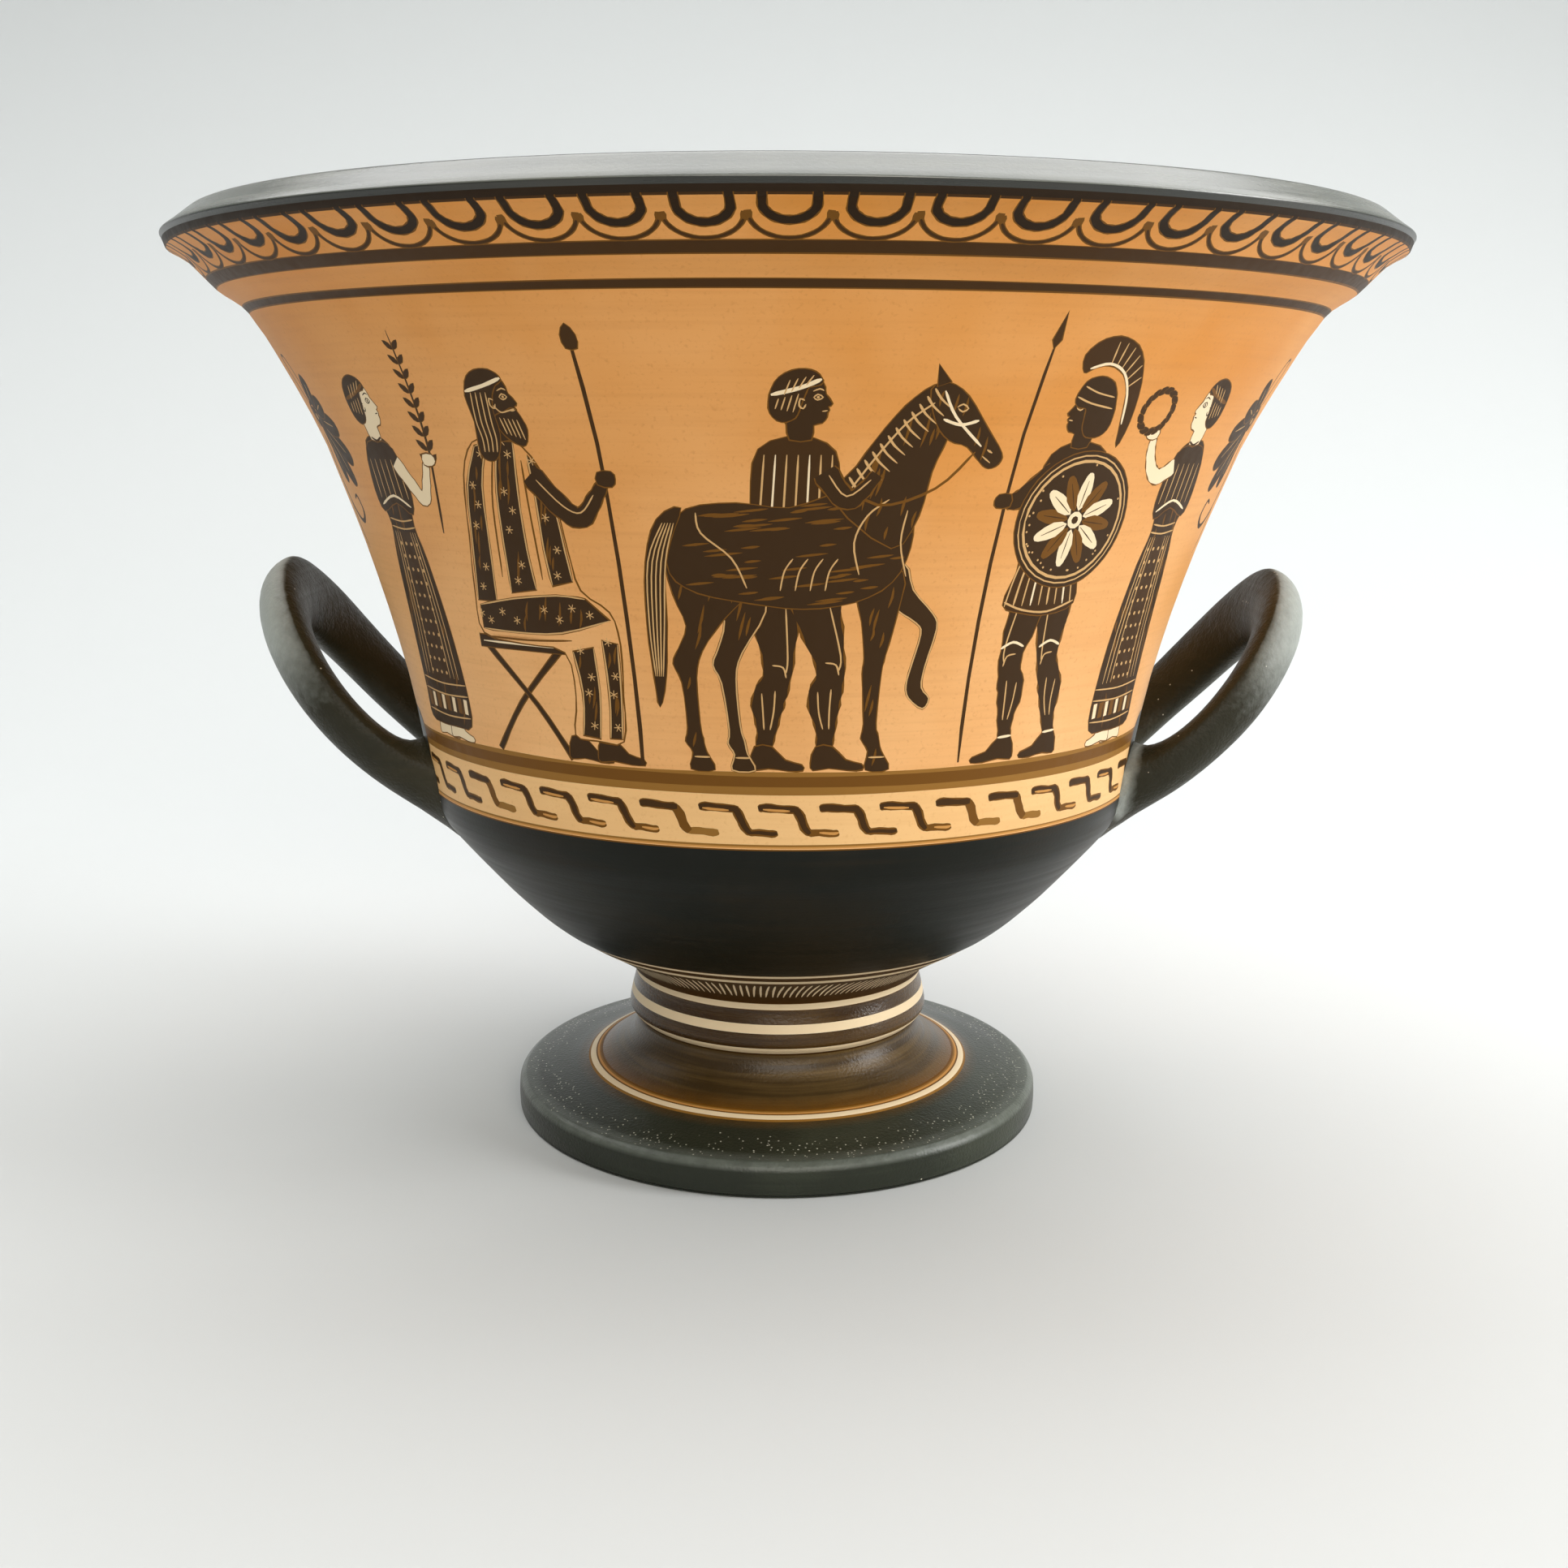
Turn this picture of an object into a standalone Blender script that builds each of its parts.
"""Krater: a wheel-thrown bell of fired clay on a stepped foot, with two upturned
strap handles joined to the wall before firing. One fired piece, so one solid.

Metres, +Z up. The origin is the centre of the foot's resting ring, and the
handles lie along X.
"""
import math

import bmesh
import bpy
from mathutils import Vector
from mathutils.geometry import interpolate_bezier

MM = 0.001

# Rim
HEIGHT = 205.0
RIM_RADIUS = 134.5
RIM_EDGE_HEIGHT = 200.6
LIP_TOP_RADIUS = 129.2
LIP_INNER_RADIUS = 125.0

# Wall, keel and bowl
WALL = 5.0
FRIEZE_TOP = (117.4, 185.5)
WAIST = (90.0, 122.2)
KEEL = (80.8, 77.0)
BOWL_BOTTOM = (37.5, 41.5)
FLOOR_HEIGHT = 47.5

# Neck, torus and foot
NECK = (34.6, 35.0)
TORUS_HEIGHT = 28.2
TORUS_RADIUS = 4.9
TORUS_REACH = 36.4
RING = (45.8, 11.0)
FOOT_RADIUS = 63.1
FOOT_EDGE = 5.6
FOOT_ROUNDING = 2.6
RESTING_RING_INNER = 54.0
HOLLOW_RADIUS = 25.0
HOLLOW_TOP = 37.0

# Handles: a flattened clay strap bent to an upright loop, each a little different
STRAP_WIDTH = 20.2
STRAP_THICKNESS = 10.0
ROOT = (80.5, 22.3, 82.9)
ROOT_DEPTH = 9.0
ROOT_TAPER = 0.14
ROOT_FLARE = 0.34
ROOT_FLARE_REACH = 0.3
SHOULDER = (104.5, 32.5, 99.0)
CROWN_HALF_WIDTH = 21.7
HANDLES = {
    "handle_left": {"side": -1, "crown": (113.9, 121.6), "turn": 2.0},
    "handle_right": {"side": 1, "crown": (115.2, 120.9), "turn": -8.0},
}

# Facets
TURNED_STEPS = 56
STRAP_ROWS = 10
MERGE = 0.00005
OVERRUN = 8.0


def smooth_through(knots, rows):
    """Points on a Catmull-Rom curve through the knots, rows to each span."""
    ends = [2 * Vector(knots[0]) - Vector(knots[1]), 2 * Vector(knots[-1]) - Vector(knots[-2])]
    points = [ends[0], *map(Vector, knots), ends[1]]
    line = []
    for before, start, stop, after in zip(points, points[1:], points[2:], points[3:]):
        for row in range(rows):
            t = row / rows
            line.append(0.5 * (2 * start + (stop - before) * t
                               + (2 * before - 5 * start + 4 * stop - after) * t ** 2
                               + (3 * start - before - 3 * stop + after) * t ** 3))
    return [tuple(point) for point in line] + [tuple(knots[-1])]


def arc(centre, radius, start, stop, rows):
    """Points on a circular arc, angles in degrees from the outward direction."""
    angles = [math.radians(start + (stop - start) * row / rows) for row in range(rows + 1)]
    return [(centre[0] + radius * math.cos(a), centre[1] + radius * math.sin(a)) for a in angles]


def inset(line, depth):
    """The line moved inward, square to itself."""
    moved = []
    for index, point in enumerate(line):
        ahead = Vector(line[min(index + 1, len(line) - 1)])
        along = (ahead - Vector(line[max(index - 1, 0)])).normalized()
        moved.append((point[0] + along[1] * depth, point[1] - along[0] * depth))
    return moved


def lip_line():
    """Bevelled top of the rim, its nose and the undercut below it."""
    nose = arc((RIM_RADIUS - 1.0, RIM_EDGE_HEIGHT), 1.0, 50, -50, 3)
    return [(LIP_TOP_RADIUS - 1.6, HEIGHT), (LIP_TOP_RADIUS, HEIGHT - 0.4), *nose,
            (131.2, 197.2), (126.6, 193.0), (122.6, 189.3)]


def body_line():
    """The flaring wall, the round turn of the keel and the bowl, in to the neck."""
    wall = [FRIEZE_TOP, (107.3, 168.4), (98.4, 147.3), WAIST, (84.6, 100.0), (82.5, 86.5)]
    bowl = [KEEL, (74.6, 68.4), (64.5, 56.4), (52.8, 46.6), BOWL_BOTTOM]
    return smooth_through(wall + bowl, 2)


def foot_line():
    """Neck, torus, hollow flare and the stepped disc, down to the resting ring."""
    torus = arc((TORUS_REACH - TORUS_RADIUS, TORUS_HEIGHT), TORUS_RADIUS, 62, -62, 5)
    flare = smooth_through([(34.2, 22.3), (36.2, 16.0), (43.4, 11.4)], 2)
    shoulder = arc((FOOT_RADIUS - FOOT_ROUNDING, FOOT_EDGE), FOOT_ROUNDING, 75, 0, 3)
    return [(35.9, 39.4), (34.9, 37.2), NECK, (34.1, 33.4), *torus, *flare, RING,
            (46.6, 10.4), *shoulder, (FOOT_RADIUS, 0.7), (FOOT_RADIUS - 0.7, 0.0)]


def outside_line():
    """Half section of the closed vessel, from the axis above to the axis below."""
    return [(0.0, HEIGHT), *lip_line(), *body_line(), *foot_line(), (0.0, 0.0)]


def inside_line():
    """Half section of the space in the bowl, one wall thickness inside."""
    lip = [(LIP_INNER_RADIUS, HEIGHT + OVERRUN), (LIP_INNER_RADIUS, HEIGHT - 0.8),
           (LIP_INNER_RADIUS - 1.6, HEIGHT - 4.5), (LIP_INNER_RADIUS - 6.0, HEIGHT - 11.0)]
    body = inset(body_line()[:-3], WALL)[::2]
    floor = [(30.0, FLOOR_HEIGHT + 0.8), (0.0, FLOOR_HEIGHT)]
    return [(0.0, HEIGHT + OVERRUN), *lip, *body, *floor]


def hollow_line():
    """Half section of the space under the foot."""
    return [(0.0, HOLLOW_TOP), (14.0, HOLLOW_TOP - 2.0), (HOLLOW_RADIUS - 3.0, HOLLOW_TOP - 11.0),
            (HOLLOW_RADIUS, 18.0), (HOLLOW_RADIUS + 7.0, 8.0), (RESTING_RING_INNER - 8.0, 4.0),
            (RESTING_RING_INNER, -0.1), (RESTING_RING_INNER, -OVERRUN), (0.0, -OVERRUN)]


def link_to(collection, thing):
    collection.objects.link(thing)
    return thing


def turned(name, line, collection):
    """A solid of revolution from a half section that runs from axis to axis."""
    mesh = bpy.data.meshes.new(name)
    corners = [(radius * MM, 0.0, height * MM) for radius, height in line]
    mesh.from_pydata(corners, [(i, i + 1) for i in range(len(line) - 1)], [])
    thing = link_to(collection, bpy.data.objects.new(name, mesh))
    screw = thing.modifiers.new("Turn", "SCREW")
    screw.steps = screw.render_steps = TURNED_STEPS
    screw.use_merge_vertices = True
    screw.merge_threshold = MERGE
    screw.use_smooth_shade = False
    return thing


def strap_section(collection):
    """The handle's section, an oval guide curve that the strap is swept with."""
    curve = bpy.data.curves.new("strap_section", "CURVE")
    curve.dimensions = "2D"
    curve.resolution_u = 3
    oval = curve.splines.new("BEZIER")
    oval.bezier_points.add(3)
    oval.use_cyclic_u = True
    half = (STRAP_WIDTH / 2 * MM, STRAP_THICKNESS / 2 * MM)
    for point, (x, y) in zip(oval.bezier_points, ((1, 0), (0, 1), (-1, 0), (0, -1))):
        point.co = (x * half[0], y * half[1], 0)
        point.handle_left_type = point.handle_right_type = "AUTO"
    guide = link_to(collection, bpy.data.objects.new("strap_section", curve))
    guide.hide_render = True
    return guide


def loop_stations(crown):
    """Centre line of one handle at +X, with the section's scale at each point."""
    root, shoulder = Vector(ROOT), Vector(SHOULDER)
    top = Vector((crown[0], 0.0, crown[1]))
    across = Vector((0.0, CROWN_HALF_WIDTH, 0.0))
    half = interpolate_bezier(root, shoulder, top + across, top, STRAP_ROWS + 1)
    half.insert(0, root - (shoulder - root).normalized() * ROOT_DEPTH)
    scales = []
    for row in range(-1, STRAP_ROWS + 1):
        t = max(row, 0) / STRAP_ROWS
        flare = ROOT_FLARE * max(0.0, 1 - t / ROOT_FLARE_REACH) ** 2
        scales.append(1 - ROOT_TAPER * (1 - t) + flare)
    front = [point * Vector((1, -1, 1)) for point in half]
    return list(zip(front + half[-2::-1], scales + scales[-2::-1]))


def strap(name, side, crown, turn, section, collection):
    """One handle: out of the wall, up round the crown and back into the wall."""
    curve = bpy.data.curves.new(name, "CURVE")
    curve.dimensions = "3D"
    curve.twist_mode = "MINIMUM"
    curve.bevel_mode = "OBJECT"
    curve.bevel_object = section
    curve.use_fill_caps = True
    stations = loop_stations(crown)
    path = curve.splines.new("POLY")
    path.points.add(len(stations) - 1)
    for point, (place, scale) in zip(path.points, stations):
        point.co = (*(place * Vector((side, 1, 1)) * MM), 1)
        point.radius = scale
        point.tilt = math.radians(turn) * side
    bent = link_to(collection, bpy.data.objects.new(name, curve))
    bpy.context.view_layer.update()
    evaluated = bent.evaluated_get(bpy.context.evaluated_depsgraph_get())
    mesh = bpy.data.meshes.new_from_object(evaluated)
    welded = bmesh.new()
    welded.from_mesh(mesh)
    bmesh.ops.remove_doubles(welded, verts=welded.verts, dist=MERGE)
    bmesh.ops.recalc_face_normals(welded, faces=welded.faces)
    welded.to_mesh(mesh)
    welded.free()
    bpy.data.objects.remove(bent)
    return link_to(collection, bpy.data.objects.new(name, mesh))


def painted_clay():
    """Fired orange clay, the colour that the slip is painted over."""
    material = bpy.data.materials.new("painted_terracotta")
    material.use_nodes = True
    surface = material.node_tree.nodes["Principled BSDF"]
    surface.inputs["Base Color"].default_value = (0.62, 0.27, 0.075, 1.0)
    surface.inputs["Roughness"].default_value = 0.55
    surface.inputs["Metallic"].default_value = 0.0
    return material


def combine(body, tool, operation):
    boolean = body.modifiers.new(tool.name, "BOOLEAN")
    boolean.operation = operation
    boolean.solver = "EXACT"
    boolean.object = tool
    tool.hide_render = True
    tool.display_type = "WIRE"


def main():
    for thing in list(bpy.data.objects):
        bpy.data.objects.remove(thing, do_unlink=True)
    vessel = bpy.data.collections.new("krater")
    tools = bpy.data.collections.new("cutters")
    for collection in (vessel, tools):
        bpy.context.scene.collection.children.link(collection)

    krater = turned("krater", outside_line(), vessel)
    section = strap_section(tools)
    for name, form in HANDLES.items():
        combine(krater, strap(name, **form, section=section, collection=tools), "UNION")
    combine(krater, turned("bowl_space", inside_line(), tools), "DIFFERENCE")
    combine(krater, turned("foot_space", hollow_line(), tools), "DIFFERENCE")
    krater.data.materials.append(painted_clay())


main()
